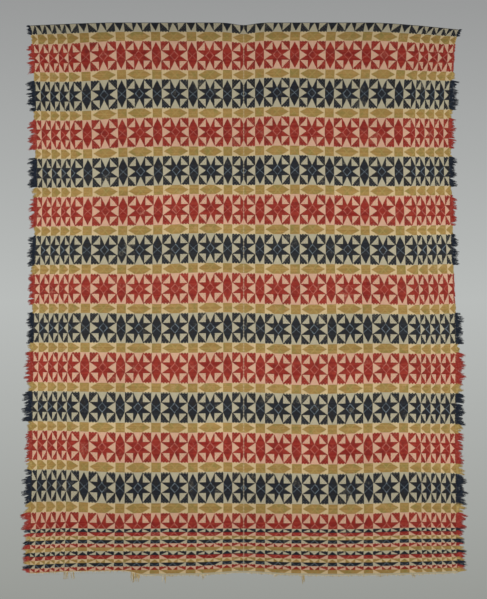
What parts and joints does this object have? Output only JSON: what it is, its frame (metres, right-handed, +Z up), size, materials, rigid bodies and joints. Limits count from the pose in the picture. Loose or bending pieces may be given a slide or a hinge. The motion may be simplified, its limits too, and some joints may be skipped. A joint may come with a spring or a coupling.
{
  "type": "hanging woven coverlet",
  "caption": "Two-panel woven coverlet in star and diamond bands, with yarn fringe down both sides, hung flat by a back sleeve on a rod in open wall brackets.",
  "frame": {"origin": "on the wall plane, at the middle of the centre bracket's back face, level with the rod's axis", "axes": "+Z up, -Y out of the wall towards the viewer, +X to the right seen from the front"},
  "size_m": [2.0494, 0.0793, 2.548],
  "materials": {
    "star_cloth": "woven wool and cotton",
    "navy_yarn": "wool yarn",
    "red_yarn": "wool yarn",
    "border_yarn": "wool yarn in changing colours",
    "linen_thread": "twisted linen thread",
    "sleeve_cotton": "plain cotton",
    "rod_wood": "satin varnish",
    "cap_plastic": "moulded",
    "bracket_paint": "satin powder coat",
    "screw_steel": "zinc plated"
  },
  "bodies": {
    "brackets": {"bracket_left": "bracket_paint", "screw_left_upper": "screw_steel", "screw_left_lower": "screw_steel", "bracket_centre": "bracket_paint", "screw_centre_upper": "screw_steel", "screw_centre_lower": "screw_steel", "bracket_right": "bracket_paint", "screw_right_upper": "screw_steel", "screw_right_lower": "screw_steel"},
    "rod": {"rod": "rod_wood", "rod_cap_left": "cap_plastic", "rod_cap_right": "cap_plastic"},
    "coverlet": {"left_panel": "star_cloth", "left_top_hem": "star_cloth", "left_bottom_hem": "star_cloth", "left_fringe_01": "navy_yarn", "left_fringe_02": "red_yarn", "left_fringe_03": "navy_yarn", "left_fringe_04": "red_yarn", "left_fringe_05": "navy_yarn", "left_fringe_06": "red_yarn", "left_fringe_07": "navy_yarn", "left_fringe_08": "red_yarn", "left_fringe_09": "navy_yarn", "left_fringe_10": "red_yarn", "left_fringe_11": "navy_yarn", "left_fringe_12": "red_yarn", "left_fringe_13": "navy_yarn", "left_fringe_14": "red_yarn", "left_fringe_15": "border_yarn", "left_sleeve": "sleeve_cotton", "right_panel": "star_cloth", "right_top_hem": "star_cloth", "right_bottom_hem": "star_cloth", "right_fringe_01": "navy_yarn", "right_fringe_02": "red_yarn", "right_fringe_03": "navy_yarn", "right_fringe_04": "red_yarn", "right_fringe_05": "navy_yarn", "right_fringe_06": "red_yarn", "right_fringe_07": "navy_yarn", "right_fringe_08": "red_yarn", "right_fringe_09": "navy_yarn", "right_fringe_10": "red_yarn", "right_fringe_11": "navy_yarn", "right_fringe_12": "red_yarn", "right_fringe_13": "navy_yarn", "right_fringe_14": "red_yarn", "right_fringe_15": "border_yarn", "right_sleeve": "sleeve_cotton", "seam_stitching": "linen_thread"}
  },
  "joints": [
    {"name": "rod_lift", "type": "slide", "parent": "brackets", "child": "rod", "axis": [0, 0, 1], "range_m": [0, 0.03]},
    {"name": "cloth_swing", "type": "hinge", "parent": "rod", "child": "coverlet", "pos_m": [0, -0.034, 0], "axis": [-1, 0, 0], "range_deg": [0, 35]}
  ]
}
